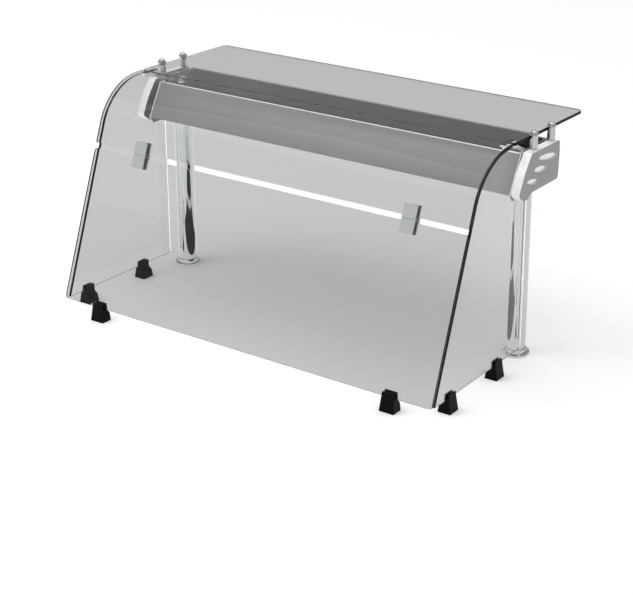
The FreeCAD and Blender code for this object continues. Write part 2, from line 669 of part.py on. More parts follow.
def connector_fixings():
    pads, screws = [], []
    for side in SIDES.values():
        x = f"{side} * connector_x"
        half = "connector_tall / 2 - pad_split"
        for front in (1, -1):
            upper_out = "glass / 2 + connector_pad" if front > 0 else "-glass / 2"
            lower_out = "glass / 2 + connector_pad" if front > 0 else "-glass / 2 - sliding_gap"
            upper = slope_box("connector_wide - 1", "connector_pad", half, x, upper_out, "pad_split")
            holes = [slope_rod("link_screw + stud_gap", "3 * connector_pad", f"{x} + {step} * link_side",
                               f"({upper_out}) + connector_pad", "link_rise") for step in (-1, 1)]
            pads.append(cut(upper, fuse(*holes)))
            lower = slope_box("connector_wide - 1", "connector_pad - sliding_gap", half, x, lower_out,
                              "-connector_tall / 2")
            pads.append(lower)
        for step in (-1, 1):
            place = f"{x} + {step} * link_side"
            shank = slope_rod("link_screw", "glass + 2 * connector_pad + inner_thick + link_grip", place,
                              "glass / 2 + connector_pad + link_grip", "link_rise")
            back = "-glass / 2 - connector_pad - inner_thick"
            head = slope_rod("link_head_radius", "link_screw", place, back, "link_rise")
            screws.append(fuse(shank, head))
    node(group(*pads), "connector_pads")
    node(group(*screws), "connector_screws")


# ---------------------------------------------------------------- Clips on the worktop

def side_clip(name, side, y):
    """A clip that grips the foot of an end glass. Its slot runs along Y."""
    gap = "(glass / 2 + slot_gap)"
    outer, inner = f"end_glass_x + {gap}", f"end_glass_x - {gap}"
    points = [("clip_outer", 0), ("clip_outer - clip_lean", "clip_height"), (outer, "clip_height"),
              (outer, "pane_bottom"), (inner, "pane_bottom"), (inner, "clip_height"),
              (f"{inner} - jaw", "clip_height"), (f"{inner} - jaw", "shoulder_z"),
              ("clip_inner + side_shoulder", "shoulder_z - shoulder_drop"), ("clip_inner", 0)]
    if side < 0:
        points = [(f"-({u})", v) for u, v in points]
    body = document.addObject("PartDesign::Body")
    pad = body.newObject("PartDesign::Pad", "pad")
    pad.Profile = draw(body, "XZ_Plane", points)
    bind(pad, Length="clip_long")
    put(body, 0, f"{y} + clip_long / 2")
    document.recompute()
    taper_ends(body, "Y")
    middle = f"{side} * (clip_outer + clip_inner) / 2"
    bore(body, "insert_radius", "insert_depth", middle, "-clip_long / 2", 0, "Z")
    node(body, f"side_clip_{name}")


def front_clip(name, side):
    """A clip that grips the foot of the lower front glass. Its slot leans as the pane does."""
    gap = "(glass / 2 + slot_gap)"
    front_top = (f"{pane_y('clip_height')} - ({gap}) / cos(lean)", "clip_height")
    rear_top = (f"{pane_y('clip_height')} + ({gap}) / cos(lean)", "clip_height")
    points = [("front_clip_y", 0), ("front_clip_y + front_clip_lean", "clip_height"), front_top,
              pane_corner("pane_bottom", f"-({gap})"), pane_corner("pane_bottom", gap), rear_top,
              (f"{rear_top[0]} + jaw", "clip_height"), (f"{rear_top[0]} + jaw", "shoulder_z"),
              ("front_clip_back - front_shoulder", "shoulder_z - shoulder_drop"), ("front_clip_back", 0)]
    body = plate(points, "front_clip_long", f"{side} * front_clip_x - front_clip_long / 2")
    taper_ends(body, "X")
    middle = "(front_clip_y + front_clip_back) / 2"
    bore(body, "insert_radius", "insert_depth", "front_clip_long / 2", middle, 0, "Z")
    node(body, f"front_clip_{name}")


def taper_ends(body, along):
    """Slope both ends of a clip inwards as they rise."""
    angle = math.degrees(math.atan2(number("clip_taper"), number("clip_height")))
    bounds = body.Shape.BoundBox
    place = body.Placement.Base
    for end in (-1, 1):
        block = body.newObject("PartDesign::SubtractiveBox", "taper")
        bind(block, Length=TAPER_BLOCK, Width=TAPER_BLOCK, Height=TAPER_BLOCK)
        if along == "X":
            centre_y = (bounds.YMin + bounds.YMax) / 2 - place.y
            at = FreeCAD.Vector((bounds.XMax if end > 0 else bounds.XMin) - place.x, centre_y, 0)
            offset = FreeCAD.Vector(0 if end > 0 else -TAPER_BLOCK, -TAPER_BLOCK / 2, 0)
            turn = FreeCAD.Rotation(FreeCAD.Vector(0, 1, 0), -angle * end)
        else:
            centre_x = (bounds.XMin + bounds.XMax) / 2 - place.x
            at = FreeCAD.Vector(centre_x, (bounds.YMax if end > 0 else bounds.YMin) - place.y, 0)
            offset = FreeCAD.Vector(-TAPER_BLOCK / 2, 0 if end > 0 else -TAPER_BLOCK, 0)
            turn = FreeCAD.Rotation(FreeCAD.Vector(1, 0, 0), angle * end)
        block.Placement = FreeCAD.Placement(at + turn.multVec(offset), turn)
        document.recompute()


# ---------------------------------------------------------------- Brackets at the front of the top glass

def glass_bracket(name, side):
    """A swan-necked plate on the canopy's end that carries the joint of the curved and top panes."""
    top = "top_level - glass / 2 - pad - bracket"
    neck = [(50, 380), (66, 380), (66, 411), (24, f"{top} + bracket_bite"),
            ("bracket_front", f"{top} + bracket_bite"), ("bracket_front", f"{top} - bracket"),
            (14, f"{top} - bracket"), (48, 412)]
    start = from_side(side, "canopy_half - bracket", "bracket")
    body = plate(neck, "bracket", start)
    bore(body, "cap_bolt_radius + stud_gap", "2 * bracket", "-bracket / 2", *BRACKET_SCREW)
    long = "bracket_rear - bracket_front"
    middle_y = "(bracket_front + bracket_rear) / 2"
    x = f"{side} * (canopy_half - bracket_flange / 2 + bracket_outside)"
    table = box("bracket_flange", long, "bracket", x, middle_y, top)
    node(fuse(body, table), f"glass_bracket_{name}")
    return box("bracket_flange", long, "pad", x, middle_y, "top_level - glass / 2 - pad")


def bracket_screw(side):
    along = "X" if side > 0 else "-X"
    inner = f"{side} * (canopy_half - bracket)"
    head_x = f"{inner} - {side} * cap_bolt_radius"
    head = cylinder("2 * cap_bolt_radius", "cap_bolt_radius", head_x, *BRACKET_SCREW, along)
    shank = cylinder("cap_bolt_radius", "bracket + end_plate", inner, *BRACKET_SCREW, along)
    return fuse(head, shank)


# ---------------------------------------------------------------- Build

for side_name, side_sign in SIDES.items():
    post(side_name, side_sign)
    foot(side_name, side_sign)
    post_head(side_name, side_sign, side_name + "_stud_top")
    end_plate(side_name, side_sign)
    end_cap(side_name, side_sign)
    end_glass(side_name, side_sign)
    trough(side_name, side_sign)
    lamp(side_name, side_sign)
    connector(side_name, side_sign)
    front_clip(side_name, side_sign)
    for where in ("front", "rear"):
        side_clip(f"{side_name}_{where}", side_sign, f"side_clip_{where}_y")
        clamp(f"{side_name}_{where}", side_sign, f"clamp_{where}_y")

lock_nuts()
cable_gland()
lower_front_glass()
curved_front_glass()
top_glass()
fascia()
rear_panel()
tray()
vent_baffles()
cap_fixings()
end_gaskets()
lamp_holders()
lamp_guards()
terminal_box()
connector_fixings()
glass_pads = clamp_pins() + [glass_bracket(side_name, side_sign) for side_name, side_sign in SIDES.items()]
node(group(*glass_pads), "glass_pads")

document.recompute()

for thing in document.Objects:
    if "Invalid" in thing.State or "Error" in thing.State:
        raise RuntimeError(f"{thing.Name} ({thing.Label}) did not build: {thing.State}")
for thing in nodes:
    if thing.Shape.isNull() or not thing.Shape.isValid() or not thing.Shape.Solids:
        raise RuntimeError(f"{thing.Label} has no valid shape")

os.makedirs("parts", exist_ok=True)
for thing in nodes:
    thing.Shape.exportStep(f"parts/{thing.Label}.step")
print(len(nodes), "nodes")
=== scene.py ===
import json
import math

import bmesh
import bpy
from mathutils import Euler, Matrix, Vector


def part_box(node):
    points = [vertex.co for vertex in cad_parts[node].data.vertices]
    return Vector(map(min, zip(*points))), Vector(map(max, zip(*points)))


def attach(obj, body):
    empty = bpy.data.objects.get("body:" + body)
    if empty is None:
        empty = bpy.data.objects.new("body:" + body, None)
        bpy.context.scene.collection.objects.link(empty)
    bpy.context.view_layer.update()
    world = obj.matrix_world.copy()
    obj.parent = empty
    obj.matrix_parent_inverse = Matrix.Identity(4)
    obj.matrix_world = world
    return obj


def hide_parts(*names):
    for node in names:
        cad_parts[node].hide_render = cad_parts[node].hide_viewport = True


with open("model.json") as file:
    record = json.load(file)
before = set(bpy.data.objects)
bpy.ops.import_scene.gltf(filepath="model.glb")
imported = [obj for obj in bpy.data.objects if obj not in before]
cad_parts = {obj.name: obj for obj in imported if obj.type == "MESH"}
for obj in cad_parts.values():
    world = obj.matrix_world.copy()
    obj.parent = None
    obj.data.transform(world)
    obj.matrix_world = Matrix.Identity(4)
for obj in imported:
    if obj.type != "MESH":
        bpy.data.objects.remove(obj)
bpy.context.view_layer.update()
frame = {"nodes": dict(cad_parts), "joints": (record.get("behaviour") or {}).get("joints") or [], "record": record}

MM = 0.001
SIDES = {"left": -1, "right": 1}
scene = bpy.context.scene
scene.view_settings.view_transform = "Standard"

# ---------------------------------------------------------------- Materials


def math_node(tree, operation, first, second):
    node = tree.nodes.new("ShaderNodeMath")
    node.operation = operation
    for socket, value in zip(node.inputs, (first, second)):
        if isinstance(value, float):
            socket.default_value = value
        else:
            tree.links.new(value, socket)
    return node.outputs[0]


class Recipe:
    """A material under construction: one Principled shader and the nodes that feed it."""

    def __init__(self, name, colour, **shader):
        self.material = bpy.data.materials.new(name)
        self.material.use_nodes = True
        self.tree = self.material.node_tree
        self.shader = self.tree.nodes["Principled BSDF"]
        self.shader.inputs["Base Color"].default_value = (*colour, 1)
        for name, value in shader.items():
            socket = name.replace("_", " ").title().replace("Ior", "IOR")
            self.shader.inputs[socket].default_value = value

    def add(self, kind, **inputs):
        node = self.tree.nodes.new("ShaderNode" + kind)
        for name, value in inputs.items():
            socket = node.inputs[name.replace("_", " ")]
            if isinstance(value, bpy.types.NodeSocket):
                self.tree.links.new(value, socket)
            else:
                socket.default_value = value
        return node

    def noise(self, stretch, detail):
        """Noise in the object's own space, stretched by a scale along each axis, per metre."""
        place = self.add("TexCoord").outputs["Object"]
        mapped = self.add("Mapping", Vector=place, Scale=stretch).outputs["Vector"]
        noise = self.add("TexNoise", Vector=mapped, Scale=1.0, Detail=detail, Roughness=0.6)
        return noise.outputs["Fac"]

    def span(self, value, low, high, from_low=0.3, from_high=0.7):
        """Stretch a noise value to a range."""
        node = self.add("MapRange", Value=value)
        limits = {"From Min": from_low, "From Max": from_high, "To Min": low, "To Max": high}
        for name, number in limits.items():
            node.inputs[name].default_value = number
        return node.outputs["Result"]

    def tint(self, value, dark, light):
        """Vary the colour between two tones."""
        node = self.add("Mix", Factor=value)
        node.data_type = "RGBA"
        colours = [socket for socket in node.inputs if socket.type == "RGBA"]
        colours[0].default_value = (*dark, 1)
        colours[1].default_value = (*light, 1)
        output = next(socket for socket in node.outputs if socket.type == "RGBA")
        self.tree.links.new(output, self.shader.inputs["Base Color"])

    def rough(self, value):
        self.tree.links.new(value, self.shader.inputs["Roughness"])

    def bump(self, value, strength, distance):
        node = self.add("Bump", Height=value, Strength=strength, Distance=distance)
        self.tree.links.new(node.outputs["Normal"], self.shader.inputs["Normal"])


def shade(colour, factor):
    return tuple(min(1, channel * factor) for channel in colour)


# Noise scales that draw a grain out along one axis
GRAIN = {"X": (6, 900, 900), "Y": (900, 6, 900), "Z": (900, 900, 6)}


def brushed(name, colour, along, roughness, metal=1.0):
    """Sheet steel with a directional grain and faint clouding."""
    recipe = Recipe(name, colour, metallic=metal, roughness=roughness, anisotropic=0.45,
                    specular_ior_level=0.5 * metal)
    lines = recipe.noise(GRAIN[along], detail=6)
    clouds = recipe.noise((9, 9, 9), detail=3)
    recipe.tint(recipe.span(lines, 0.0, 1.0), shade(colour, 0.98), shade(colour, 1.02))
    fine = recipe.span(lines, -0.04, 0.04)
    broad = recipe.span(clouds, roughness - 0.03, roughness + 0.04)
    recipe.rough(math_node(recipe.tree, "ADD", fine, broad))
    recipe.bump(lines, strength=0.02, distance=0.05 * MM)
    return recipe.material


def polished(name, colour, roughness):
    """Bright steel or chrome with hairline wipes and a soft smear here and there."""
    recipe = Recipe(name, colour, metallic=1.0, roughness=roughness)
    smears = recipe.noise((14, 14, 5), detail=4)
    hairs = recipe.noise((1400, 1400, 40), detail=2)
    recipe.rough(recipe.span(smears, roughness * 0.6, roughness * 1.9))
    recipe.tint(recipe.span(smears, 0, 1), shade(colour, 0.97), shade(colour, 1.02))
    recipe.bump(hairs, strength=0.03, distance=0.05 * MM)
    return recipe.material


def moulded(name, colour, roughness, grain=2600, depth=0.25, shine=0.5):
    """Moulded plastic, rubber or ceramic with a fine grain."""
    recipe = Recipe(name, colour, roughness=roughness, ior=1.49, specular_ior_level=shine)
    pits = recipe.noise((grain, grain, grain), detail=2)
    wear = recipe.noise((60, 60, 60), detail=4)
    recipe.tint(recipe.span(wear, 0, 1), shade(colour, 0.85), shade(colour, 1.25))
    recipe.rough(recipe.span(wear, roughness - 0.07, roughness + 0.1))
    recipe.bump(pits, strength=depth, distance=0.08 * MM)
    return recipe.material


def clear_glass(name, colour):
    """Toughened glass with the faint smears that a wiped pane keeps."""
    recipe = Recipe(name, colour, transmission_weight=1.0, roughness=0.0, ior=1.38)
    recipe.shader.inputs["Specular Tint"].default_value = (0.5, 0.5, 0.5, 1)
    wiped = recipe.noise((9, 3, 9), detail=5)
    recipe.rough(recipe.span(wiped, 0.0, 0.012, from_low=0.5, from_high=0.8))
    return recipe.material


def cut_edge(name, colour):
    """The polished edge of a pane, deep and dark: partly the glass's own edge, where light runs along the sheet,
    and partly painted shade, as only the edges that face one way get the darkest tone.
    """
    recipe = Recipe(name, colour, roughness=0.12, ior=1.5, specular_ior_level=0.05)
    depth = recipe.noise((40, 40, 40), detail=3)
    recipe.tint(recipe.span(depth, 0, 1), shade(colour, 0.6), shade(colour, 1.6))
    recipe.rough(recipe.span(depth, 0.08, 0.2))
    return recipe.material


FINISH = {
    "fascia": brushed("steel_fascia", (0.225, 0.222, 0.217), "X", 0.36, metal=0.15),
    # Tray and rear wall: steel darkened as painted shade for the inside of the trough
    "inside": brushed("steel_inside_painted_shade", (0.20, 0.195, 0.19), "X", 0.38),
    # Cap sides: steel darkened as painted shade, beside the painted highlight on the cap's rims
    "cap": brushed("steel_cap_painted_shade", (0.285, 0.284, 0.276), "Y", 0.34),
    # Pale steel: the glass brackets' own tone, and a painted highlight on the rims, tops and front edges of the
    # caps, fascia, end plates and connectors
    "rim": brushed("pale_steel_and_painted_highlight", (0.9, 0.9, 0.89), "Z", 0.36, metal=0.3),
    "plate": brushed("connector_plate", (0.54, 0.565, 0.555), "Z", 0.42, metal=0.3),
    "chrome": polished("post_chrome", (0.555, 0.575, 0.565), 0.05),
    "satin": brushed("satin_fittings", (0.50, 0.52, 0.51), "Z", 0.24),
    "zinc": polished("zinc_plate", (0.6, 0.61, 0.62), 0.22),
    "reflector": polished("reflector_sheet", (0.85, 0.85, 0.84), 0.14),
    "baffle": polished("vent_baffle_sheet", (0.86, 0.86, 0.85), 0.3),
    "nylon": moulded("black_nylon", (0.0016, 0.0016, 0.0018), 0.4, shine=0.08),
    "pad": moulded("grey_rubber", (0.11, 0.11, 0.11), 0.7, grain=1800, depth=0.35, shine=0.3),
    "rubber": moulded("black_rubber", (0.012, 0.012, 0.012), 0.7, grain=1800, depth=0.35, shine=0.3),
    "plastic": moulded("grey_plastic", (0.33, 0.34, 0.35), 0.45),
    "ceramic": moulded("lamp_ceramic", (0.78, 0.75, 0.68), 0.5, grain=900, depth=0.2),
    "pane": clear_glass("clear_pane", (0.96, 0.965, 0.96)),
    # Near-black cut edge: the glass's own dark edge, and painted shade on the right-facing edges
    "glass_edge_and_painted_shade": cut_edge("glass_edge_and_painted_shade", (0.004, 0.005, 0.005)),
    "dull_edge": cut_edge("dull_edge", (0.09, 0.09, 0.088)),
    "quartz": clear_glass("quartz_tube", (0.96, 0.93, 0.9)),
    "filament": polished("lamp_filament", (0.35, 0.33, 0.3), 0.3),
}

# ---------------------------------------------------------------- Pieces

WELD = 0.001 * MM
FLAT_ANGLE = 0.5
EDGE_ANGLE = 35
TURNED_ANGLE = 30


def body_of_node(name):
    bodies = frame["record"]["behaviour"]["bodies"]
    return next(body for body, members in bodies.items() if name in members)


def finish_piece(piece, finish, *nodes, body=None):
    """Set a piece in the scene: its body and the CAD nodes that it stands for."""
    scene.collection.objects.link(piece)
    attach(piece, body or body_of_node(nodes[0]))
    if nodes:
        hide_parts(*nodes)


def smooth(mesh, angle=EDGE_ANGLE):
    for face in mesh.polygons:
        face.use_smooth = True
    mesh.set_sharp_from_angle(angle=math.radians(angle))


def bevel(piece, width, segments, angle=EDGE_ANGLE):
    modifier = piece.modifiers.new("edges", "BEVEL")
    modifier.width = width
    modifier.segments = segments
    modifier.limit_method = "ANGLE"
    modifier.angle_limit = math.radians(angle)
    modifier.harden_normals = True


def refined(name, finish, width, segments, second=None):
    """A finished copy of a CAD node, with real edge radii, and a second finish where a test says so."""
    mesh = frame["nodes"][name].data.copy()
    work = bmesh.new()
    work.from_mesh(mesh)
    bmesh.ops.remove_doubles(work, verts=work.verts, dist=2 * WELD)
    bmesh.ops.dissolve_limit(work, angle_limit=math.radians(FLAT_ANGLE), verts=work.verts, edges=work.edges)
    work.to_mesh(mesh)
    work.free()
    mesh.materials.clear()
    mesh.materials.append(FINISH[finish])
    for face in mesh.polygons:
        face.material_index = 0
    if second:
        other, test = second
        mesh.materials.append(FINISH[other])
        for face in mesh.polygons:
            face.material_index = int(test(face))
    smooth(mesh)
    piece = bpy.data.objects.new(name + ".finish", mesh)
    if width:
        bevel(piece, width, segments)
    finish_piece(piece, finish, name)


def new_piece(name, work, finishes):
    mesh = bpy.data.meshes.new(name)
    work.to_mesh(mesh)
    work.free()
    for finish in finishes:
        mesh.materials.append(FINISH[finish])
    return bpy.data.objects.new(name, mesh)


def lathe(name, finish, profile, centre, nodes, segments, axis="Z", body=None):
    """A turned piece from a closed profile of (radius, height) points."""
    work = bmesh.new()
    rings = []
    for step in range(segments):
        angle = 2 * math.pi * step / segments
        x, y = math.cos(angle), math.sin(angle)
        rings.append([work.verts.new((radius * x, radius * y, height)) for radius, height in profile])
    count = len(profile)
    for step, ring in enumerate(rings):
        following = rings[(step + 1) % segments]
        for index in range(count):
            after = (index + 1) % count
            work.faces.new((ring[index], following[index], following[after], ring[after]))
    bmesh.ops.remove_doubles(work, verts=work.verts, dist=WELD)
    bmesh.ops.recalc_face_normals(work, faces=work.faces)
    turn = Matrix.Rotation(math.radians(90), 4, "Y") if axis == "X" else Matrix.Identity(4)
    bmesh.ops.transform(work, matrix=Matrix.Translation(centre) @ turn, verts=work.verts)
    piece = new_piece(name, work, [finish])
    smooth(piece.data, TURNED_ANGLE)
    finish_piece(piece, finish, *nodes, body=body)


def arc(centre, radius, start, end, steps):
    """Points on an arc, in degrees, both ends included."""
    angles = [math.radians(start + (end - start) * step / steps) for step in range(steps + 1)]
    x, y = centre
    return [(x + radius * math.cos(angle), y + radius * math.sin(angle)) for angle in angles]


# ---------------------------------------------------------------- Glass

GLASS = 6 * MM
ARRIS = 0.5 * MM
BEND = 120 * MM
BEND_STEPS = 40
CORNER = 9 * MM
CORNER_STEPS = 8
# An end pane: its bend lies this far inside the front glass, round a point at this y
END_SETBACK = 3 * MM
END_BEND_Y = -14 * MM
# Its level top ends at this y and falls to this height at the rear
END_LEVEL_Y = -2 * MM
END_REAR_Z = 412 * MM

lift = next(joint for joint in frame["joints"] if joint["name"] == "lower_glass_lift")
LEAN = math.atan2(lift["axis"][1], lift["axis"][2])
UP_SLOPE = Vector((0, math.sin(LEAN), math.cos(LEAN)))
INWARDS = Vector((0, math.cos(LEAN), -math.sin(LEAN)))
PANE_FINISHES = ["pane", "glass_edge_and_painted_shade", "dull_edge"]


# The right-facing cut edges of the lower, curved and top panes are painted dark as shade; their left edges stay
# clear glass
def faces_right(normal):
    return normal.x > 0.5


def faces_front(normal):
    """True for an edge that faces the customer, from straight up the slope to the level top."""
    return abs(normal.x) < 0.5 and normal.y < -0.3


def faces_along_y(normal):
    """True for the level ends of the top and curved panes, which meet over the canopy."""
    return abs(normal.y) > 0.99


def set_pane(name, work, node_name, is_dark, is_dull=None):
    """Finish a pane's cut edges by their direction, give them an arris and set it in the scene."""
    bmesh.ops.recalc_face_normals(work, faces=work.faces)
    for face in work.faces:
        if is_dark(face.normal):
            face.material_index = PANE_FINISHES.index("glass_edge_and_painted_shade")
        elif is_dull and is_dull(face.normal):
            face.material_index = PANE_FINISHES.index("dull_edge")
    piece = new_piece(name, work, PANE_FINISHES)
    smooth(piece.data)
    bevel(piece, ARRIS, 2, angle=50)
    piece.visible_shadow = False
    piece.visible_diffuse = False
    finish_piece(piece, "pane", node_name)


def extruded_pane(name, outline, place, node_name, is_dark, is_dull=None):
    """A flat pane: an outline in its own plane, given its thickness."""
    work = bmesh.new()
    front = [work.verts.new(place(u, v, -GLASS / 2)) for u, v in outline]
    back = [work.verts.new(place(u, v, GLASS / 2)) for u, v in outline]
    work.faces.new(front)
    work.faces.new(list(reversed(back)))
    for index in range(len(outline)):
        after = (index + 1) % len(outline)
        work.faces.new((front[index], back[index], back[after], front[after]))
    set_pane(name, work, node_name, is_dark, is_dull)


def rounded_rectangle(low, high):
    (u0, v0), (u1, v1) = low, high
    left, right, bottom, top = u0 + CORNER, u1 - CORNER, v0 + CORNER, v1 - CORNER
    corners = [(right, top), (left, top), (left, bottom), (right, bottom)]
    points = []
    for quarter, corner in enumerate(corners):
        points += arc(corner, CORNER, 90 * quarter, 90 * quarter + 90, CORNER_STEPS)
    return points


def slope_foot(low):
    """The middle of a leaning pane's lower edge."""
    return Vector((0, low.y, low.z)) + INWARDS * GLASS / 2 + Vector((0, 0, GLASS * math.sin(LEAN)))


def lower_pane():
    low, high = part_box("lower_front_glass")
    foot = slope_foot(low)
    length = (high.z - low.z - GLASS * math.sin(LEAN)) / math.cos(LEAN)
    outline = rounded_rectangle((low.x, 0), (high.x, length))
    extruded_pane("lower_pane", outline,
                  lambda u, v, w: foot + Vector((u, 0, 0)) + UP_SLOPE * v + INWARDS * w,
                  "lower_front_glass", faces_right)


def top_pane():
    low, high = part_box("top_glass")
    middle = (low.z + high.z) / 2
    outline = rounded_rectangle((low.x, low.y), (high.x, high.y))
    extruded_pane("top_pane", outline, lambda u, v, w: Vector((u, v, middle + w)), "top_glass",
                  faces_right, faces_along_y)


def bent_path(offset, low_point, level, rear):
    """The line of the bent front: up the slope, round the bend and level to the rear, offset inwards."""
    centre_z = level - BEND
    along = (centre_z - low_point.z) / UP_SLOPE.z
    slope_at = low_point + UP_SLOPE * along
    centre = (slope_at.y + BEND / math.cos(LEAN), centre_z)
    bend = arc(centre, BEND - offset, 180 - math.degrees(LEAN), 90, BEND_STEPS)
    foot = low_point + INWARDS * offset
    return [(foot.y, foot.z), *bend, (rear, level - offset)]


def curved_pane():
    low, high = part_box("curved_front_glass")
    foot = slope_foot(low)
    outer = bent_path(-GLASS / 2, foot, high.z - GLASS / 2, high.y)
    inner = bent_path(GLASS / 2, foot, high.z - GLASS / 2, high.y)
    work = bmesh.new()
    outer_left, outer_right = [[work.verts.new((x, y, z)) for y, z in outer] for x in (low.x, high.x)]
    inner_left, inner_right = [[work.verts.new((x, y, z)) for y, z in inner] for x in (low.x, high.x)]
    last = len(outer) - 1
    for index in range(last):
        after = index + 1
        work.faces.new((outer_left[index], outer_right[index], outer_right[after], outer_left[after]))
        work.faces.new((inner_left[index], inner_left[after], inner_right[after], inner_right[index]))
        for outside, inside in ((outer_left, inner_left), (outer_right, inner_right)):
            work.faces.new((outside[index], outside[after], inside[after], inside[index]))
    for index in (0, last):
        work.faces.new((outer_left[index], outer_right[index], inner_right[index], inner_left[index]))
    set_pane("curved_pane", work, "curved_front_glass", faces_right, faces_along_y)


def end_pane(name):
    low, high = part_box(f"end_glass_{name}")
    middle = (low.x + high.x) / 2
    reach = BEND - GLASS / 2 - END_SETBACK
    bend = arc((END_BEND_Y, high.z - reach), reach, 180 - math.degrees(LEAN), 90, BEND_STEPS)
    outline = [(low.y, low.z), *bend, (END_LEVEL_Y, high.z), (high.y, END_REAR_Z), (high.y, low.z)]
    extruded_pane(f"end_pane_{name}", outline, lambda u, v, w: Vector((middle + w, u, v)),
                  f"end_glass_{name}", faces_front)


# ---------------------------------------------------------------- Posts, clamps and lamps

POST_WALL = 1.5 * MM
DISC_EDGE = 0.6 * MM
DISC_BORE = 2.5 * MM
DOME_RADIUS = 6.5 * MM
DOME_RIM = 2 * MM
DOME_GAP = 0.05 * MM
DOME_CHAMFER = 0.2 * MM
SCREW_RADIUS = 2.45 * MM
LAMP_CAP = 8 * MM
LAMP_CAP_RADIUS = 4 * MM
TUBE_SHOULDER = 2 * MM
TUBE_NECK = 0.8
COIL_TURNS = 50
COIL_STEPS = 8
COIL_RADIUS = 1.2 * MM
COIL_WIRE = 0.15 * MM
COIL_FILL = 0.92


def upright_axis(low, high, height):
    return Vector(((low.x + high.x) / 2, (low.y + high.y) / 2, height))


def post(name):
    low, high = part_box(f"post_{name}")
    radius = (high.x - low.x) / 2
    bore = radius - POST_WALL
    profile = [(radius, 0), (radius, high.z), (bore, high.z), (bore, 0)]
    lathe(f"post_{name}.tube", "chrome", profile, upright_axis(low, high, 0), [f"post_{name}"], 160)


def clamp_disc(name):
    low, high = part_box(f"clamp_disc_{name}")
    radius, tall = (high.x - low.x) / 2, high.z - low.z
    profile = [(DISC_BORE, 0), (radius - DISC_EDGE / 2, 0), (radius, DISC_EDGE / 2),
               (radius, tall - DISC_EDGE), (radius - 0.3 * DISC_EDGE, tall - 0.3 * DISC_EDGE),
               (radius - DISC_EDGE, tall), (DISC_BORE, tall)]
    lathe(f"clamp_disc_{name}.turned", "satin", profile, upright_axis(low, high, low.z),
          [f"clamp_disc_{name}"], 64)


def clamp_screw(name):
    low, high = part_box(f"clamp_screw_{name}")
    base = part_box(f"clamp_disc_{name}")[1].z + DOME_GAP
    rim = base + DOME_RIM
    dome = []
    for angle in range(0, 90, 9):
        rise = math.sin(math.radians(angle))
        dome.append((DOME_RADIUS * math.cos(math.radians(angle)), rim + (high.z - rim) * rise))
    profile = [(0, low.z), (SCREW_RADIUS, low.z), (SCREW_RADIUS, base), (DOME_RADIUS - DOME_CHAMFER, base),
               (DOME_RADIUS, base + DOME_CHAMFER), *dome, (0, high.z)]
    lathe(f"clamp_screw_{name}.dome", "satin", profile, upright_axis(low, high, 0),
          [f"clamp_screw_{name}"], 64)


def lamp_filament(name, middle, reach):
    """A coiled wire along the lamp, drawn as one spline."""
    coil = bpy.data.curves.new(f"{name}.filament", "CURVE")
    coil.dimensions = "3D"
    coil.bevel_depth = COIL_WIRE
    last = COIL_TURNS * COIL_STEPS - 1
    spline = coil.splines.new("NURBS")
    spline.points.add(last)
    for index, point in enumerate(spline.points):
        angle = 2 * math.pi * index / COIL_STEPS
        place = middle + Vector((reach * (index / last - 0.5), COIL_RADIUS * math.cos(angle),
                                 COIL_RADIUS * math.sin(angle)))
        point.co = (*place, 1)
    piece = bpy.data.objects.new(f"{name}.filament", coil)
    coil.materials.append(FINISH["filament"])
    finish_piece(piece, "filament", body=body_of_node(name))


def heat_lamp(name):
    low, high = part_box(name)
    middle = (low + high) / 2
    radius, half = (high.z - low.z) / 2, (high.x - low.x) / 2
    end = half - LAMP_CAP
    neck, shoulder = radius * TUBE_NECK, end - TUBE_SHOULDER
    tube = [(0, -end), (neck, -end), (radius, -shoulder), (radius, shoulder), (neck, end), (0, end)]
    lathe(f"{name}.tube", "quartz", tube, middle, [name], 48, "X")
    for number, direction in ((0, -1), (2, 1)):
        start, stop = sorted((direction * half, direction * end))
        profile = [(0, start), (LAMP_CAP_RADIUS, start), (LAMP_CAP_RADIUS, stop), (0, stop)]
        lathe(f"{name}.cap{number}", "ceramic", profile, middle, [], 32, "X", body_of_node(name))
    lamp_filament(name, middle, 2 * end * COIL_FILL)


# ---------------------------------------------------------------- Everything else, from the CAD shapes


# The tests below pick, by direction, the faces that get the pale steel as a painted highlight
def faces_up(face):
    return face.normal.z > 0.9


def faces_up_slope(face):
    return face.normal.z > 0.7


def faces_customer(face):
    return face.normal.y < -0.5


def is_highlighted_cap_rim(face):
    """True for the rim of a cap, which gets pale steel as a painted highlight, as against its flat face, which
    keeps the darker steel as painted shade.
    """
    return abs(face.normal.x) < 0.7


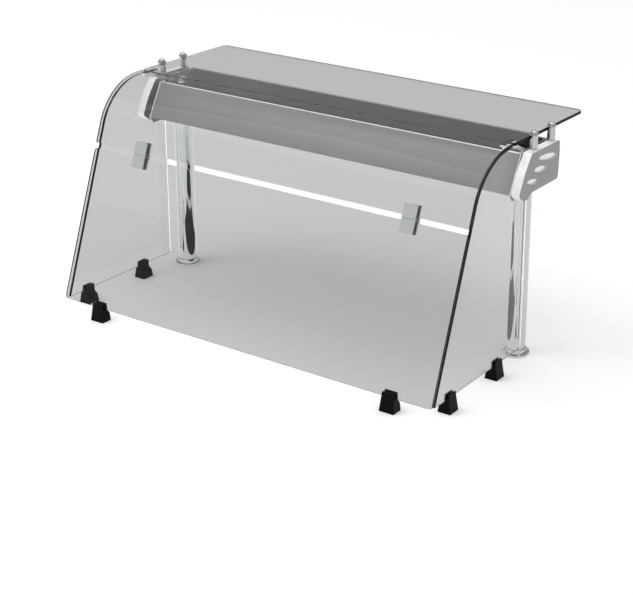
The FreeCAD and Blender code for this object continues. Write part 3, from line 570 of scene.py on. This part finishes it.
# The kept shapes of each side, then the single ones: finish, edge radius in mm, steps in that radius
SIDE_SHAPES = {
    "base_flange": ("chrome", 0.35, 3),
    "post_plug": ("zinc", 0.3, 2),
    "canopy_end_plate": ("fascia", 0.3, 2),
    "end_cap": ("cap", 1.0, 4),
    "end_gasket": ("rubber", 0.15, 2),
    "lamp_reflector": ("reflector", 0.2, 2),
    "glass_bracket": ("rim", 0.5, 3),
    "connector_outer": ("plate", 0.6, 3),
    "connector_inner": ("plate", 0.4, 2),
    "front_clip": ("nylon", 0.7, 3),
}
SINGLE_SHAPES = {
    "fascia": ("fascia", 0.3, 2),
    "rear_panel": ("inside", 0.3, 2),
    "tray": ("inside", 0.3, 2),
    "vent_baffles": ("baffle", 0, 2),
    "cap_spacers": ("satin", 0.2, 2),
    "canopy_screws": ("zinc", 0.3, 2),
    "clamp_pins": ("satin", 0.3, 2),
    "glass_pads": ("rubber", 0.15, 2),
    "connector_pads": ("pad", 0.15, 2),
    "connector_screws": ("zinc", 0.2, 2),
    "cable_riser": ("chrome", 0.2, 2),
    "post_stud": ("chrome", 0.2, 2),
    "post_lock_nuts": ("zinc", 0.5, 3),
    "cable_gland": ("satin", 0.4, 3),
    "lamp_holders": ("ceramic", 0.6, 3),
    "lamp_guards": ("satin", 0, 2),
    "terminal_box": ("plastic", 0.8, 3),
    "terminal_box_lid": ("plastic", 0.8, 3),
    "terminal_block": ("ceramic", 0.5, 2),
}
# The faces of a shape that get the pale steel as a painted highlight: rims, tops and front edges, where the light
# falls
SECOND_FINISH = {
    "canopy_end_plate": ("rim", faces_customer),
    "end_cap": ("rim", is_highlighted_cap_rim),
    "connector_outer": ("rim", faces_up_slope),
    "fascia": ("rim", faces_up),
}

for side_name in SIDES:
    post(side_name)
    end_pane(side_name)
    heat_lamp(f"heat_lamp_{side_name}")
    for shape, (finish, edge, steps) in SIDE_SHAPES.items():
        refined(f"{shape}_{side_name}", finish, edge * MM, steps, SECOND_FINISH.get(shape))
    for where in ("front", "rear"):
        refined(f"side_clip_{side_name}_{where}", "nylon", 0.7 * MM, 3)
        clamp_disc(f"{side_name}_{where}")
        clamp_screw(f"{side_name}_{where}")

lower_pane()
curved_pane()
top_pane()
for shape, (finish, edge, steps) in SINGLE_SHAPES.items():
    refined(shape, finish, edge * MM, steps, SECOND_FINISH.get(shape))

# ---------------------------------------------------------------- Stage

FLOOR_REACH = 20
FLOOR_TONE = 0.93
FLOOR_BEHIND_GLASS = 0.525
WELL_HEIGHT = 0.5 * MM
WELL_INNER, WELL_OUTER = 0.03, 0.33
WELL_FRONT, WELL_REAR = -0.2, 0.26
# The world's tone by the height it is seen at, from level to straight up
SKY = {0.0: 0.19, 0.38: 0.2, 0.5: 0.28, 0.7: 0.32, 0.85: 0.9, 1.0: 1.0}
SKY_STRENGTH = 1.9
SKY_BEHIND_GLASS = 0.3
SKY_BACKDROP = 1


def stage_plane(name, low, high, height, material):
    mesh = bpy.data.meshes.new(name)
    (x0, y0), (x1, y1) = low, high
    corners = [(x, y, height) for x, y in ((x0, y0), (x1, y0), (x1, y1), (x0, y1))]
    mesh.from_pydata(corners, [], [(0, 1, 2, 3)])
    mesh.materials.append(material)
    plane = bpy.data.objects.new(name, mesh)
    scene.collection.objects.link(plane)
    return plane


def seen_through_glass(tree):
    """1 where the view goes through a pane, 0 everywhere else, reflections of panes included."""
    path = tree.nodes.new("ShaderNodeLightPath")
    direct = math_node(tree, "LESS_THAN", path.outputs["Glossy Depth"], 0.5)
    return math_node(tree, "MULTIPLY", path.outputs["Is Transmission Ray"], direct)


def pale_floor(tone, behind_glass):
    """A white floor that reads as pale grey where it is seen through glass."""
    recipe = Recipe("pale_floor", (tone,) * 3, roughness=0.9, specular_ior_level=0.0)
    recipe.tint(seen_through_glass(recipe.tree), (tone,) * 3, (behind_glass,) * 3)
    return recipe.material


def well_cards():
    """Dark cards that only reflections see. They stand for the food wells between the posts."""
    recipe = Recipe("well_card", (0.02, 0.02, 0.02), roughness=0.9)
    for name, side in SIDES.items():
        near, far = sorted((side * WELL_INNER, side * WELL_OUTER))
        card = stage_plane(f"well_card_{name}", (near, WELL_FRONT), (far, WELL_REAR), WELL_HEIGHT,
                           recipe.material)
        card.visible_camera = False
        card.visible_diffuse = False
        card.visible_shadow = False
        card.visible_transmission = False


def sky_tone(tree):
    """The world's colour by height."""
    place = tree.nodes.new("ShaderNodeTexCoord").outputs["Generated"]
    split = tree.nodes.new("ShaderNodeSeparateXYZ")
    tree.links.new(place, split.inputs[0])
    ramp = tree.nodes.new("ShaderNodeValToRGB")
    ramp.color_ramp.interpolation = "EASE"
    elements = ramp.color_ramp.elements
    while len(elements) < len(SKY):
        elements.new(0.5)
    for element, (height, tone) in zip(elements, SKY.items()):
        element.position = height
        element.color = (tone, tone, tone, 1)
    tree.links.new(split.outputs["Z"], ramp.inputs[0])
    return ramp.outputs["Color"]


def studio_world():
    """A soft studio: dim round the horizon, bright overhead, and white where the camera sees it."""
    world = bpy.data.worlds.new("studio")
    world.use_nodes = True
    tree = world.node_tree
    colour = sky_tone(tree)
    camera_ray = tree.nodes.new("ShaderNodeLightPath").outputs["Is Camera Ray"]
    for where, tone in ((seen_through_glass(tree), SKY_BEHIND_GLASS), (camera_ray, SKY_BACKDROP)):
        mix = tree.nodes.new("ShaderNodeMixRGB")
        tree.links.new(where, mix.inputs["Fac"])
        tree.links.new(colour, mix.inputs["Color1"])
        mix.inputs["Color2"].default_value = (tone, tone, tone, 1)
        colour = mix.outputs["Color"]
    background = tree.nodes["Background"]
    tree.links.new(colour, background.inputs["Color"])
    background.inputs["Strength"].default_value = SKY_STRENGTH
    return world


def softbox(name, place, target, size, power):
    """A square lamp that lights the scene but is not seen in reflections."""
    light = bpy.data.lights.new(name, "AREA")
    light.shape = "SQUARE"
    light.size = size
    light.energy = power
    lamp = bpy.data.objects.new(name, light)
    lamp.location = place
    lamp.rotation_euler = (Vector(target) - Vector(place)).to_track_quat("-Z", "Y").to_euler()
    lamp.visible_glossy = False
    scene.collection.objects.link(lamp)


stage_plane("floor", (-FLOOR_REACH, -FLOOR_REACH), (FLOOR_REACH, FLOOR_REACH), 0,
            pale_floor(FLOOR_TONE, FLOOR_BEHIND_GLASS))
well_cards()
scene.world = studio_world()
softbox("key", place=(-1.6, -1.4, 2.6), target=(0, 0, 0.2), size=2.0, power=22)

# The camera: where it stands, which way it looks and its lens, in the guard's frame
CAMERA_PLACE = (1.6646, -2.2624, 1.2350)
YAW, PITCH, ROLL = math.radians(32.87), math.radians(-20.29), math.radians(0.84)
camera_data = bpy.data.cameras.new("camera")
camera_data.sensor_width = 36
camera_data.lens = 87.9
camera_data.shift_x = -0.137
camera_data.shift_y = -0.114
camera = bpy.data.objects.new("camera", camera_data)
look = Euler((math.radians(90) + PITCH, 0, YAW)).to_matrix().to_4x4()
camera.matrix_world = Matrix.Translation(CAMERA_PLACE) @ look @ Matrix.Rotation(ROLL, 4, "Z")
scene.collection.objects.link(camera)
scene.camera = camera

bpy.context.view_layer.update()
